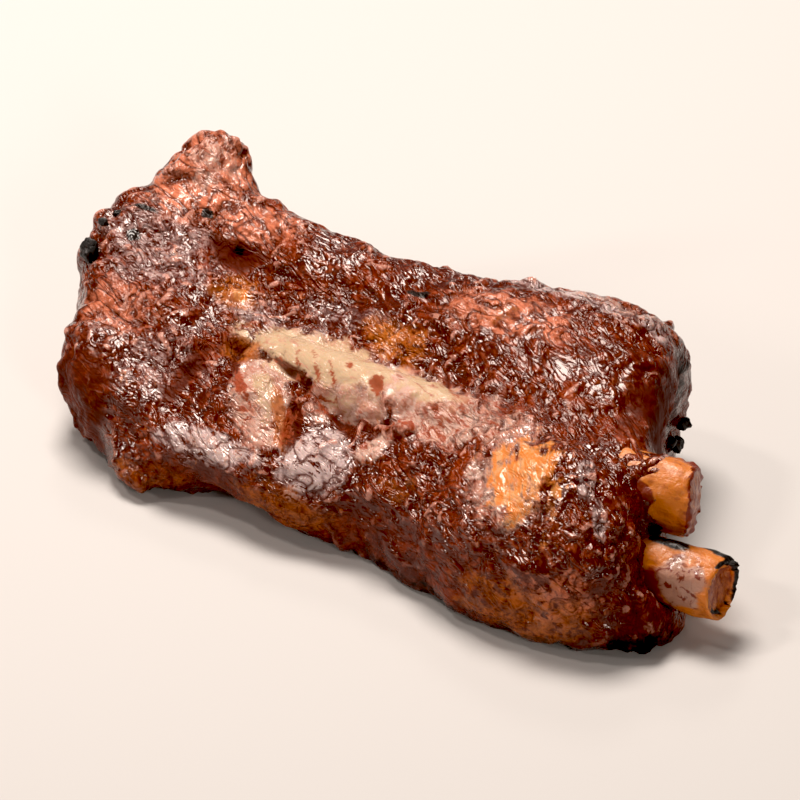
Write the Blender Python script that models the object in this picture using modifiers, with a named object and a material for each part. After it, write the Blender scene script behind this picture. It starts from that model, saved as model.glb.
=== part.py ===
"""One cut piece of a glazed rack of ribs: a thick slab of meat on two rib bones.

The piece lies bone side up. X runs along the bones, +Y is the thick edge at the back, Z is up.
The back bone shows through the top of the meat and at the right-hand cut, and the front bone
sticks out of the same cut. All lengths are metres.
"""

import math
from dataclasses import dataclass

import bmesh
import bpy
from mathutils import Vector, noise

# ---- driving dimensions of the meat ----
MEAT_LEFT = -0.0570  # ends of the slab, measured along the bones at the middle of its width
MEAT_RIGHT = 0.0415
LEFT_SLANT = -0.48  # the ends are cut across the bones on a slant: metres of X for each metre of Y
RIGHT_SLANT = -0.44
CORNER_POWER = 4.2  # squareness of the meat's cross-section
LEFT_POWER = 4.2  # roundness of the left end
RIGHT_POWER = 9.0  # the right end is a straight knife cut
CAGE_CUTS = 29  # divisions of the cage that the meat is shaped from
SKIN_CELL = 0.0026  # cell of the closed skin that is grown over the cage and its lobes
FOOT_LEVEL = 0.0  # the meat is flat where it rests
FLOOR_SIDE = 0.2  # the block that cuts the foot flat
FLOOR_THICKNESS = 0.02

# ---- driving dimensions of the bones ----
GAP = 0.0003  # clearance between bone and meat
CHANNEL_OVERRUN = 0.01  # how far a bone's channel is cut on past the bone's end
BONE_SIDES = 18
BONE_RINGS = 14
END_ROUNDING = 0.0006  # rounding of the bones' ends
RIM_THICKNESS = 0.0012  # hard wall of a bone round its softer core
CORE_DEPTH = 0.0007  # how far the core lies below the rim at the cut


@dataclass(frozen=True)
class Section:
    """Corners of the meat's cross-section at one place along the slab."""

    along: float
    front_foot: float
    front_top: tuple
    back_top: tuple
    back_foot: float


SECTIONS = (
    Section(-0.053, -0.028, (-0.030, 0.013), (0.015, 0.030), 0.020),
    Section(-0.041, -0.029, (-0.027, 0.012), (0.017, 0.029), 0.024),
    Section(-0.033, -0.027, (-0.028, 0.010), (0.018, 0.028), 0.025),
    Section(-0.019, -0.026, (-0.029, 0.010), (0.015, 0.029), 0.025),
    Section(-0.007, -0.025, (-0.027, 0.011), (0.014, 0.029), 0.025),
    Section(0.005, -0.027, (-0.027, 0.014), (0.016, 0.029), 0.026),
    Section(0.018, -0.030, (-0.028, 0.018), (0.020, 0.029), 0.028),
    Section(0.030, -0.030, (-0.028, 0.019), (0.024, 0.029), 0.031),
    Section(0.042, -0.027, (-0.026, 0.018), (0.028, 0.029), 0.033),
)
SECTION_FLOOR = -0.0025  # the sections reach below the foot, which is then cut flat


@dataclass(frozen=True)
class Swell:
    """A soft push on the meat's surface: a bulge, a ridge, a hollow or a trough."""

    name: str
    centre: tuple
    reach: tuple
    push: tuple


SWELLS = (
    Swell("trough by the bare bone", (-0.024, 0.001, 0.020), (0.015, 0.006, 0.010), (0, 0, -0.0035)),
    Swell("bed of the bare bone", (0.000, -0.0075, 0.019), (0.023, 0.0075, 0.010), (0, 0, -0.0045)),
    Swell("cover left of the bone", (-0.030, -0.006, 0.018), (0.009, 0.007, 0.010), (0, 0, 0.0020)),
    Swell("glazed lump", (-0.016, -0.014, 0.014), (0.007, 0.005, 0.006), (0, -0.001, 0.0025)),
    Swell("arch under the front edge", (-0.013, -0.026, 0.000), (0.009, 0.010, 0.005), (0, 0.001, 0.0045)),
    Swell("left front knob", (-0.029, -0.029, 0.001), (0.006, 0.005, 0.004), (-0.001, -0.004, 0)),
    Swell("left bulge", (-0.046, -0.017, 0.010), (0.007, 0.008, 0.007), (-0.0010, -0.0010, 0.0010)),
    Swell("left top corner", (-0.054, -0.003, 0.022), (0.006, 0.008, 0.008), (-0.0030, 0, 0.0012)),
    Swell("shelf under the bone", (0.048, -0.014, 0.000), (0.012, 0.012, 0.0060), (0.008, 0.001, 0)),
    Swell("cut face drawn in", (0.036, 0.010, 0.018), (0.012, 0.012, 0.009), (-0.0018, 0, 0)),
    Swell("gristle knob", (0.008, -0.015, 0.017), (0.004, 0.004, 0.004), (0, -0.0005, 0.0022)),
    Swell("crevice before the knob", (-0.001, -0.013, 0.016), (0.007, 0.003, 0.006), (0, 0, -0.0020)),
    Swell("fat patch", (0.033, -0.016, 0.020), (0.008, 0.006, 0.006), (0, -0.0005, 0.0012)),
    Swell("front hollow", (0.012, -0.027, 0.006), (0.007, 0.006, 0.007), (0, 0.0020, 0)),
    Swell("front bulge", (0.030, -0.029, 0.004), (0.007, 0.006, 0.007), (0, -0.0012, 0)),
    Swell("root of the back flap", (-0.047, 0.013, 0.023), (0.010, 0.008, 0.008), (0, 0.0025, 0.0012)),
    Swell("back hollow", (-0.018, 0.026, 0.008), (0.011, 0.008, 0.009), (0, -0.0045, 0)),
    Swell("back bulge", (0.006, 0.026, 0.012), (0.009, 0.008, 0.009), (0, 0.0022, 0)),
    Swell("back fold", (0.022, 0.030, 0.006), (0.006, 0.008, 0.012), (0, -0.0030, 0)),
    Swell("left end bulge", (-0.058, 0.012, 0.009), (0.008, 0.009, 0.007), (-0.0015, 0.0010, 0)),
    Swell("left end hollow", (-0.054, -0.008, 0.003), (0.008, 0.008, 0.005), (0.0030, 0, 0)),
    Swell("right end hollow", (0.034, 0.018, 0.006), (0.008, 0.010, 0.008), (-0.0030, 0, 0)),
)
LUMPS = ((0.015, 0.0010), (0.0065, 0.0007))  # size and height of the meat's uneven lumps
LUMP_CENTRE = (-0.004, 0.012)  # Y and Z of the line that the lumps push away from
LUMP_LIFT = 1.5  # the lumps push more upward than outward


@dataclass(frozen=True)
class Lobe:
    """A rounded flap or knob that stands proud of the slab."""

    name: str
    centre: tuple
    radii: tuple
    tilt: float


LOBES = (
    Lobe("back flap", (-0.0485, 0.0165, 0.0235), (0.0070, 0.0085, 0.0050), math.radians(28)),
)
LOBE_SEGMENTS = 24
LOBE_RINGS = 14


@dataclass(frozen=True)
class Bone:
    """A rib bone: an oval bar along X with a slight bow, blind inside the meat at its left end."""

    name: str
    left: tuple
    right: tuple
    half_width: float
    half_height: float
    roll: float
    bow: tuple
    end_slant: float
    end_lean: float


BONES = (
    Bone(
        name="bone_back",
        left=(-0.044, -0.0025, 0.0095),
        right=(0.0510, -0.0048, 0.0152),
        half_width=0.0046,
        half_height=0.0056,
        roll=math.radians(25),
        bow=(-0.0045, 0.0020),
        end_slant=-0.35,
        end_lean=0.30,
    ),
    Bone(
        name="bone_front",
        left=(-0.040, -0.0175, 0.0060),
        right=(0.0595, -0.0108, 0.0075),
        half_width=0.0042,
        half_height=0.0041,
        roll=0.0,
        bow=(0.0, 0.0005),
        end_slant=-0.20,
        end_lean=0.0,
    ),
)

MEAT_COLOUR = (0.085, 0.018, 0.008, 1.0)
MEAT_ROUGHNESS = 0.35
BONE_COLOUR = (0.55, 0.28, 0.12, 1.0)
BONE_ROUGHNESS = 0.45


def clear_scene():
    """Remove whatever the scene holds."""
    for obj in list(bpy.data.objects):
        bpy.data.objects.remove(obj, do_unlink=True)


def new_collection(name):
    """Add a collection to the scene."""
    collection = bpy.data.collections.new(name)
    bpy.context.scene.collection.children.link(collection)
    return collection


def new_material(name, colour, roughness):
    """A plain Principled material."""
    material = bpy.data.materials.new(name)
    material.use_nodes = True
    shader = material.node_tree.nodes["Principled BSDF"]
    shader.inputs["Base Color"].default_value = colour
    shader.inputs["Roughness"].default_value = roughness
    shader.inputs["Metallic"].default_value = 0.0
    return material


def new_object(name, bm, collection, material=None):
    """Put a bmesh into a new object of the collection."""
    mesh = bpy.data.meshes.new(name)
    bm.to_mesh(mesh)
    bm.free()
    mesh.shade_smooth()
    if material is not None:
        mesh.materials.append(material)
    obj = bpy.data.objects.new(name, mesh)
    collection.objects.link(obj)
    return obj


# ---- meat ----

def ease(t):
    """Smooth step between 0 and 1."""
    return t * t * (3.0 - 2.0 * t)


def section_corners(section):
    """Front foot, front top, back top and back foot of a section, each as Y and Z."""
    front_foot = Vector((section.front_foot, SECTION_FLOOR))
    back_foot = Vector((section.back_foot, SECTION_FLOOR))
    return front_foot, Vector(section.front_top), Vector(section.back_top), back_foot


def section_at(along):
    """Blend the two sections on either side of a place along the slab."""
    low = SECTIONS[0]
    for high in SECTIONS:
        if high.along >= along:
            break
        low = high
    span = high.along - low.along
    t = ease(min(max((along - low.along) / span, 0.0), 1.0)) if span else 0.0
    return [a.lerp(b, t) for a, b in zip(section_corners(low), section_corners(high))]


def rounded(point):
    """Pull a point of the cage's cube onto a cushion shape of half-size 1."""
    a, b, c = point
    end_power = RIGHT_POWER if a > 0 else LEFT_POWER
    ring = (abs(b) ** CORNER_POWER + abs(c) ** CORNER_POWER) ** (1.0 / CORNER_POWER)
    size = (abs(a) ** end_power + ring ** end_power) ** (1.0 / end_power)
    return Vector(point) / size


def slab_point(point):
    """Place a point of the cushion shape on the slab."""
    a, b, c = rounded(point)
    along = (MEAT_LEFT + MEAT_RIGHT) / 2 + a * (MEAT_RIGHT - MEAT_LEFT) / 2
    front_foot, front_top, back_top, back_foot = section_at(along)
    depth = (b + 1.0) / 2
    height = (c + 1.0) / 2
    bottom = front_foot.lerp(back_foot, depth)
    top = front_top.lerp(back_top, depth)
    y, z = bottom.lerp(top, height)
    slant = LEFT_SLANT + (RIGHT_SLANT - LEFT_SLANT) * (a + 1.0) / 2
    return Vector((along + slant * y, y, z))


def swell_push(point):
    """Sum of the pushes that the swells give at a point."""
    total = Vector((0.0, 0.0, 0.0))
    for swell in SWELLS:
        offset = [(p - q) / r for p, q, r in zip(point, swell.centre, swell.reach)]
        total += Vector(swell.push) * math.exp(-sum(d * d for d in offset))
    return total


def lump_push(point):
    """The uneven lumps, as a push away from the middle of the slab's thickness."""
    height = 0.0
    for size, rise in LUMPS:
        height += rise * noise.noise(point / size)
    centre_y, centre_z = LUMP_CENTRE
    outward = Vector((0.0, point.y - centre_y, LUMP_LIFT * (point.z - centre_z)))
    return outward.normalized() * height


def add_slab(bm):
    """Shape a divided cube into the slab."""
    bmesh.ops.create_cube(bm, size=2.0)
    bmesh.ops.subdivide_edges(bm, edges=bm.edges[:], cuts=CAGE_CUTS, use_grid_fill=True)
    for vert in bm.verts:
        place = slab_point(vert.co)
        vert.co = place + swell_push(place) + lump_push(place)


def add_lobe(bm, lobe):
    """Add a tilted, flattened ball that the closed skin will melt into the slab."""
    ball = bmesh.ops.create_uvsphere(bm, u_segments=LOBE_SEGMENTS, v_segments=LOBE_RINGS, radius=1.0)
    for vert in ball["verts"]:
        x, y, z = (c * r for c, r in zip(vert.co, lobe.radii))
        turned_y = y * math.cos(lobe.tilt) - z * math.sin(lobe.tilt)
        turned_z = y * math.sin(lobe.tilt) + z * math.cos(lobe.tilt)
        vert.co = Vector(lobe.centre) + Vector((x, turned_y, turned_z))


def build_meat(collection, cutters, material):
    """The slab and its lobes under one closed skin, cut flat below and channelled for the bones."""
    bm = bmesh.new()
    add_slab(bm)
    for lobe in LOBES:
        add_lobe(bm, lobe)
    meat = new_object("meat", bm, collection, material)
    skin = meat.modifiers.new("closed skin", "REMESH")
    skin.mode = "VOXEL"
    skin.voxel_size = SKIN_CELL
    skin.use_smooth_shade = True
    for cutter in cutters:
        cut = meat.modifiers.new(cutter.name, "BOOLEAN")
        cut.operation = "DIFFERENCE"
        cut.solver = "EXACT"
        cut.object = cutter
    return meat


# ---- bones and the channels they lie in ----

def bone_mesh(bone, grow, overrun):
    """An oval bar from the bone's left end to its right end, grown and lengthened for a cutter."""
    bm = bmesh.new()
    bmesh.ops.create_cone(bm, cap_ends=True, segments=BONE_SIDES, radius1=1.0, radius2=1.0, depth=1.0)
    sides = [edge for edge in bm.edges if abs(edge.verts[0].co.z - edge.verts[1].co.z) > 0.5]
    bmesh.ops.subdivide_edges(bm, edges=sides, cuts=BONE_RINGS - 1)
    left = Vector(bone.left)
    right = Vector(bone.right)
    length = (right - left).length
    for vert in bm.verts:
        t = vert.co.z + 0.5
        w, h = vert.co.x, vert.co.y
        wide = w * (bone.half_width + grow)
        tall = h * (bone.half_height + grow)
        y = wide * math.cos(bone.roll) - tall * math.sin(bone.roll)
        z = wide * math.sin(bone.roll) + tall * math.cos(bone.roll)
        reach = t * length
        if t < 0.001:
            reach -= grow
        if t > 0.999:
            reach += overrun
        axis = left + (right - left) * (reach / length)
        bow_y, bow_z = (b * math.sin(math.pi * t) for b in bone.bow)
        end_shift = (bone.end_slant * y + bone.end_lean * z) * t
        vert.co = axis + Vector((end_shift, y + bow_y, z + bow_z))
    bm.normal_update()
    return bm


def sink_core(bm):
    """Step the core back inside the hard rim of the bone's right-hand cut."""
    end = max(bm.faces, key=lambda face: (len(face.verts), face.calc_center_median().x))
    bmesh.ops.inset_region(bm, faces=[end], thickness=RIM_THICKNESS, use_even_offset=True)
    bmesh.ops.translate(bm, vec=(-CORE_DEPTH, 0.0, 0.0), verts=end.verts)


def build_bone(bone, collection, material):
    """One bone, with its core sunk at the cut and its ends rounded."""
    bm = bone_mesh(bone, 0.0, 0.0)
    sink_core(bm)
    obj = new_object(bone.name, bm, collection, material)
    rounding = obj.modifiers.new("rounded ends", "BEVEL")
    rounding.width = END_ROUNDING
    rounding.segments = 2
    rounding.limit_method = "ANGLE"
    rounding.angle_limit = math.radians(40)
    return obj


def build_channel(bone, cutters):
    """The cutter that makes a bone's channel in the meat."""
    channel = new_object(bone.name + "_channel", bone_mesh(bone, GAP, CHANNEL_OVERRUN), cutters)
    channel.hide_render = True
    channel.display_type = "WIRE"
    return channel


def build_floor(cutters):
    """A block whose top face cuts the meat flat where it rests."""
    bm = bmesh.new()
    bmesh.ops.create_cube(bm, size=1.0)
    bmesh.ops.scale(bm, vec=(FLOOR_SIDE, FLOOR_SIDE, FLOOR_THICKNESS), verts=bm.verts[:])
    bmesh.ops.translate(bm, vec=(0.0, 0.0, FOOT_LEVEL - FLOOR_THICKNESS / 2), verts=bm.verts[:])
    block = new_object("floor_block", bm, cutters)
    block.hide_render = True
    block.display_type = "WIRE"
    return block


def set_on_origin(parts, cutters):
    """Hang everything on an empty that brings the middle of the underside to the origin."""
    frame = bpy.data.objects.new("frame", None)
    parts.objects.link(frame)
    graph = bpy.context.evaluated_depsgraph_get()
    corners = []
    for obj in parts.objects:
        if obj.type == "MESH":
            corners += [Vector(corner) for corner in obj.evaluated_get(graph).bound_box]
    for obj in list(parts.objects) + list(cutters.objects):
        if obj is not frame:
            obj.parent = frame
    for axis in (0, 1):
        lowest = min(corner[axis] for corner in corners)
        highest = max(corner[axis] for corner in corners)
        frame.location[axis] = -(lowest + highest) / 2


def main():
    """Build the meat and the bones and set them on the origin."""
    clear_scene()
    ribs = new_collection("rack_of_ribs")
    cutters = new_collection("cutters")
    meat_material = new_material("glazed meat", MEAT_COLOUR, MEAT_ROUGHNESS)
    bone_material = new_material("roasted bone", BONE_COLOUR, BONE_ROUGHNESS)
    channels = [build_channel(bone, cutters) for bone in BONES]
    build_meat(ribs, [build_floor(cutters)] + channels, meat_material)
    for bone in BONES:
        build_bone(bone, ribs, bone_material)
    set_on_origin(ribs, cutters)


main()
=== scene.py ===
"""Looks of one glazed pork rib piece: crusted meat, two roasted bones, char, and a plain studio.

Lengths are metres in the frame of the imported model, unless a name says millimetres.
"""

from __future__ import annotations

import logging
import math
from dataclasses import dataclass
from enum import Enum
from functools import partial, reduce
from typing import ClassVar

import bmesh
import bpy
import numpy as np
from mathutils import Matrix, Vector, noise
from mathutils.bvhtree import BVHTree

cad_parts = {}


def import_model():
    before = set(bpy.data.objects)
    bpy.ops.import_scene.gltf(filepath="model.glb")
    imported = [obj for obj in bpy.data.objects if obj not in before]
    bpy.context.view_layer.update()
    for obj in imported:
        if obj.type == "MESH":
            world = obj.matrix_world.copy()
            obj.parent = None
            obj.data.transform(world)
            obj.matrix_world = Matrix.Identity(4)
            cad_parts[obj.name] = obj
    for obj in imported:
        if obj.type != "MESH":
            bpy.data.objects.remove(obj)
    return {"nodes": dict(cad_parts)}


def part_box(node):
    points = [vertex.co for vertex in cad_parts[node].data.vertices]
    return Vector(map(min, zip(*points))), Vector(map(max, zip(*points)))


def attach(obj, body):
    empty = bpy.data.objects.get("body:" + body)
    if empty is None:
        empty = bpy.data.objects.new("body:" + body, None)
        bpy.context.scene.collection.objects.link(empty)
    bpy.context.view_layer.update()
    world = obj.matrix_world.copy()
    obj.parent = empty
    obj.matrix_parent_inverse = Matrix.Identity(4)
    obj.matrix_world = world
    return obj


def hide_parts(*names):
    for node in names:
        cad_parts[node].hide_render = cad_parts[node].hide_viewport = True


LOG = logging.getLogger("ribs")
MM = 0.001
MERGE_DISTANCE = 1e-6
WANDER_SEED = 5
STRAND_GAIN = 3.0
STRAND_SINK = 0.6

Triple = tuple[float, float, float]
Colour = Triple
Socket = bpy.types.NodeSocket
Material = bpy.types.Material
BMesh = bmesh.types.BMesh


class Mask(Enum):
    """Vertex masks that the finishes read, each between 0 and 1."""

    # CAVITY is read to paint shade into the meat's hollows
    CAVITY = "cavity"
    PEAK = "peak"
    TOP = "top"
    PALE = "pale"
    BARE = "bare"
    AMBER = "amber"
    FAT = "fat"
    SALMON = "salmon"
    GREASE = "grease"
    CHAR = "char"
    # DEEP: dark places, partly stains and red veins, partly painted shade in crevices, pits, pockets, under
    # the bone and on faces turned from the light
    DEEP = "deep"
    CALM = "calm"


# ---- small helpers

def smoothstep(low: float, high: float, value: float) -> float:
    """Ease from 0 at low to 1 at high; low may be the larger one.

    Args:
        low: where the result is 0.
        high: where the result is 1.
        value: the number to ease.

    Returns:
        A number between 0 and 1.
    """
    t = min(max((value - low) / (high - low), 0.0), 1.0)
    return t * t * (3.0 - 2.0 * t)


def blend(least: float, share: float) -> float:
    """Go from the least value at a share of 0 to 1 at a share of 1."""
    return least + (1.0 - least) * share


def strands(point: Vector) -> float:
    """Noise folded into rounded strands with sharp creases between them, about -0.6 to 1.2."""
    return STRAND_GAIN * abs(noise.noise(point)) - STRAND_SINK


def warped(point: Vector, size: float, amount: float) -> Vector:
    """Shift a point by smooth noise, so that patterns wander as in grown tissue.

    Args:
        point: the place, in millimetres.
        size: size of the wander, in millimetres.
        amount: how far the point may move, in millimetres.

    Returns:
        The shifted place.
    """
    return point + noise.noise_vector(point / size) * amount


# ---- meshes

@dataclass(frozen=True)
class NodeBox:
    """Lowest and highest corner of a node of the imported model."""

    low: Vector
    high: Vector

    @classmethod
    def of(cls, node: str) -> "NodeBox":
        """Read the box of a node."""
        low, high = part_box(node)
        return cls(Vector(low), Vector(high))

    def at(self, share: Triple) -> Vector:
        """Place given as shares of the box along X, Y and Z."""
        size = self.high - self.low
        return Vector(low + part * s for low, part, s in zip(self.low, share, size))


class Workpiece:
    """A mesh in the making, kept at the origin, unturned and unscaled."""

    SMOOTH_FACTOR = 0.5
    FORM_ROUNDS = 3

    def __init__(self, name: str, bm: BMesh) -> None:
        """Put a bmesh into a new object.

        Args:
            name: name of the piece.
            bm: the mesh to take over; it is freed.
        """
        mesh = bpy.data.meshes.new(name)
        bm.to_mesh(mesh)
        bm.free()
        self.object = bpy.data.objects.new(name, mesh)
        bpy.context.scene.collection.objects.link(self.object)

    def remesh(self, cell: float) -> None:
        """Grow one closed skin of even cells over everything in the mesh."""
        skin = self.object.modifiers.new("skin", "REMESH")
        skin.mode = "VOXEL"
        skin.voxel_size = cell
        graph = bpy.context.evaluated_depsgraph_get()
        mesh = bpy.data.meshes.new_from_object(self.object.evaluated_get(graph))
        self.object.modifiers.clear()
        self.object.data = mesh

    def smooth(self, rounds: int) -> None:
        """Relax the mesh."""
        bm = bmesh.new()
        bm.from_mesh(self.object.data)
        axes = {"use_axis_x": True, "use_axis_y": True, "use_axis_z": True}
        for _ in range(rounds):
            bmesh.ops.smooth_vert(bm, verts=bm.verts, factor=self.SMOOTH_FACTOR, **axes)
        bm.to_mesh(self.object.data)
        bm.free()

    def points(self) -> np.ndarray:
        """Vertex places as an array of rows."""
        return self._rows("co")

    def normals(self) -> np.ndarray:
        """Vertex normals as an array of rows."""
        return self._rows("normal")

    def set_points(self, places: np.ndarray) -> None:
        """Move the vertices."""
        self.object.data.vertices.foreach_set("co", places.astype(np.float32).ravel())
        self.object.data.update()

    def store(self, mask: Mask, values: np.ndarray) -> None:
        """Keep a mask on the vertices for the finish to read."""
        layer = self.object.data.attributes.new(mask.value, "FLOAT", "POINT")
        layer.data.foreach_set("value", np.clip(values, 0.0, 1.0).astype(np.float32))

    def store_form(self, width: float) -> None:
        """Work out cavities and peaks from how far each vertex lies under or over its surroundings.

        Args:
            width: the height difference that counts as a full cavity or peak.
        """
        places = self.points()
        around = places
        for _ in range(self.FORM_ROUNDS):
            around = self._neighbour_mean(around)
        height = np.einsum("ij,ij->i", places - around, self.normals()) / width
        self.store(Mask.CAVITY, -height)
        self.store(Mask.PEAK, height)

    def dress(self, material: Material) -> None:
        """Give the piece its finish and smooth shading."""
        mesh = self.object.data
        mesh.materials.clear()
        mesh.materials.append(material)
        mesh.shade_smooth()

    def _rows(self, field: str) -> np.ndarray:
        """A vector that every vertex has, as an array of rows."""
        vertices = self.object.data.vertices
        flat = np.empty(len(vertices) * 3, dtype=np.float32)
        vertices.foreach_get(field, flat)
        return flat.reshape(-1, 3).astype(np.float64)

    def _neighbour_mean(self, values: np.ndarray) -> np.ndarray:
        """Mean of each vertex's neighbours.

        Args:
            values: one row for each vertex.

        Returns:
            The same shape, averaged over the edges.
        """
        mesh = self.object.data
        ends = np.empty(len(mesh.edges) * 2, dtype=np.int32)
        mesh.edges.foreach_get("vertices", ends)
        first, second = ends.reshape(-1, 2).T
        total = np.zeros_like(values)
        np.add.at(total, first, values[second])
        np.add.at(total, second, values[first])
        count = np.bincount(ends, minlength=len(values)).astype(np.float64)
        return total / np.maximum(count, 1.0)[:, None]


def node_copy(node: bpy.types.Object) -> BMesh:
    """Merged copy of a node's loose triangles."""
    bm = bmesh.new()
    bm.from_mesh(node.data)
    bmesh.ops.remove_doubles(bm, verts=bm.verts, dist=MERGE_DISTANCE)
    bm.normal_update()
    return bm


def cut_off(bm: BMesh, place: Vector, facing: Triple) -> None:
    """Cut away what lies beyond a plane, and close the hole.

    Args:
        bm: the mesh.
        place: a place on the plane.
        facing: the way the plane faces.
    """
    everything = bm.verts[:] + bm.edges[:] + bm.faces[:]
    cut = bmesh.ops.bisect_plane(bm, geom=everything, plane_co=place, plane_no=facing, clear_outer=True)
    rim = [item for item in cut["geom_cut"] if isinstance(item, bmesh.types.BMEdge)]
    bmesh.ops.holes_fill(bm, edges=rim)


# ---- node graphs

class Graph:
    """Short hand for building a material's node graph."""

    MIX_SHARE, MIX_FIRST, MIX_SECOND = 0, 6, 7
    MIX_COLOUR = 2

    def __init__(self, name: str) -> None:
        """Start a material.

        Args:
            name: name of the material.
        """
        self.material = bpy.data.materials.new(name)
        self.material.use_nodes = True
        self.tree = self.material.node_tree
        self.shader = self.tree.nodes["Principled BSDF"]
        self.coordinates = self.node("ShaderNodeTexCoord").outputs["Object"]

    def node(self, kind: str, **values: object) -> bpy.types.Node:
        """Add a node and feed its sockets.

        Args:
            kind: the kind of node.
            values: a number, colour or socket for each socket, named with underscores for spaces.

        Returns:
            The node.
        """
        node = self.tree.nodes.new(kind)
        self.feed_all(node, values)
        return node

    def feed_all(self, node: bpy.types.Node, values: dict[str, object]) -> None:
        """Feed sockets of a node by their names, written with underscores for spaces."""
        for name, value in values.items():
            self.feed(node.inputs[name.replace("_", " ").title().replace("Ior", "IOR")], value)

    def feed(self, socket: Socket, value: object) -> None:
        """Link a socket to another, or set it to a number or colour."""
        if isinstance(value, Socket):
            self.tree.links.new(value, socket)
        elif isinstance(value, tuple) and len(value) == 3 and socket.type == "RGBA":
            socket.default_value = (*value, 1.0)
        else:
            socket.default_value = value

    def along(self, direction: Triple, stretch: float) -> Socket:
        """Object coordinates squeezed along a direction, so that patterns run that way.

        Args:
            direction: the way the pattern runs.
            stretch: how many times longer than wide the pattern gets.

        Returns:
            The mapped coordinates.
        """
        turn = Vector(direction).to_track_quat("X", "Z").to_euler()
        scale = (stretch, 1.0, 1.0)
        mapping = self.node("ShaderNodeMapping", scale=scale, rotation=turn, vector=self.coordinates)
        mapping.vector_type = "TEXTURE"
        return mapping.outputs["Vector"]

    def noise(
        self,
        size: float,
        detail: float = 3.0,
        rough: float = 0.55,
        warp: float = 0.0,
        space: Socket | None = None,
    ) -> Socket:
        """Noise with features of about a size.

        Args:
            size: size of the features in metres.
            detail: number of finer layers.
            rough: strength of the finer layers.
            warp: distortion.
            space: coordinates, or None for object coordinates.

        Returns:
            The noise as a number about 0.5.
        """
        texture = self.node(
            "ShaderNodeTexNoise",
            scale=1.0 / size,
            detail=detail,
            roughness=rough,
            distortion=warp,
            vector=space or self.coordinates,
        )
        return texture.outputs["Fac"]

    def cells(self, size: float) -> Socket:
        """Distance to scattered points, for grains of about a size."""
        texture = self.node("ShaderNodeTexVoronoi", scale=1.0 / size, vector=self.coordinates)
        texture.feature = "SMOOTH_F1"
        return texture.outputs["Distance"]

    def crease(self, value: Socket) -> Socket:
        """Fold a noise about its middle: 0 in sharp creases, up to about 0.5 on rounded strands."""
        return self.product(self.math("ABSOLUTE", self.sum(value, -0.5)), 2.0)

    def mask(self, mask: Mask) -> Socket:
        """A vertex mask of the piece."""
        attribute = self.node("ShaderNodeAttribute")
        attribute.attribute_name = mask.value
        return attribute.outputs["Fac"]

    def math(self, operation: str, *values: object) -> Socket:
        """Work out one operation of a Math node.

        Args:
            operation: name of the operation.
            values: the numbers or sockets that it takes.

        Returns:
            The result.
        """
        node = self.node("ShaderNodeMath")
        node.operation = operation
        for socket, value in zip(node.inputs, values):
            self.feed(socket, value)
        return node.outputs["Value"]

    def sum(self, *terms: object) -> Socket:
        """Add numbers."""
        return reduce(partial(self.math, "ADD"), terms)

    def product(self, *factors: object) -> Socket:
        """Multiply numbers."""
        return reduce(partial(self.math, "MULTIPLY"), factors)

    def weigh(self, *parts: tuple[Socket, float]) -> Socket:
        """Weighted sum of numbers, each given with its weight."""
        weighed = [self.product(value, weight) for value, weight in reversed(parts)]
        return reduce(lambda total, part: self.sum(part, total), weighed)

    def range(
        self, value: Socket, low: float, high: float, bottom: float = 0.0, top: float = 1.0
    ) -> Socket:
        """Map a stretch of values to another, eased at both ends.

        Args:
            value: the number to map.
            low: value that gives bottom.
            high: value that gives top.
            bottom: result at and below low.
            top: result at and above high.

        Returns:
            The mapped number.
        """
        limits = {"from_min": low, "from_max": high, "to_min": bottom, "to_max": top}
        node = self.node("ShaderNodeMapRange", value=value, **limits)
        node.interpolation_type = "SMOOTHSTEP"
        return node.outputs["Result"]

    def fade(self, mask: Socket, off: float, full: float) -> Socket:
        """Go from one number where a mask is 0 to another where it is 1."""
        return self.range(mask, 0.0, 1.0, off, full)

    def mix(self, share: object, first: object, second: object) -> Socket:
        """Blend two colours.

        Args:
            share: 0 for the first colour, 1 for the second.
            first: a colour or a socket.
            second: a colour or a socket.

        Returns:
            The blended colour.
        """
        node = self.node("ShaderNodeMix")
        node.data_type = "RGBA"
        self.feed(node.inputs[self.MIX_SHARE], share)
        self.feed(node.inputs[self.MIX_FIRST], first)
        self.feed(node.inputs[self.MIX_SECOND], second)
        return node.outputs[self.MIX_COLOUR]

    def bump(
        self, height: Socket, distance: float, strength: object, below: Socket | None = None
    ) -> Socket:
        """Bend the normals by a height.

        Args:
            height: the height, as a number.
            distance: depth of a height of 1, in metres.
            strength: share of the effect, a number or a socket.
            below: normals to start from, or None.

        Returns:
            The bent normals.
        """
        node = self.node("ShaderNodeBump", distance=distance, strength=strength, height=height)
        if below is not None:
            self.feed(node.inputs["Normal"], below)
        return node.outputs["Normal"]

    def finish(self, **values: object) -> Material:
        """Feed the shader's sockets, named with underscores for spaces, and return the material."""
        self.feed_all(self.shader, values)
        return self.material


# ---- finishes

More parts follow.
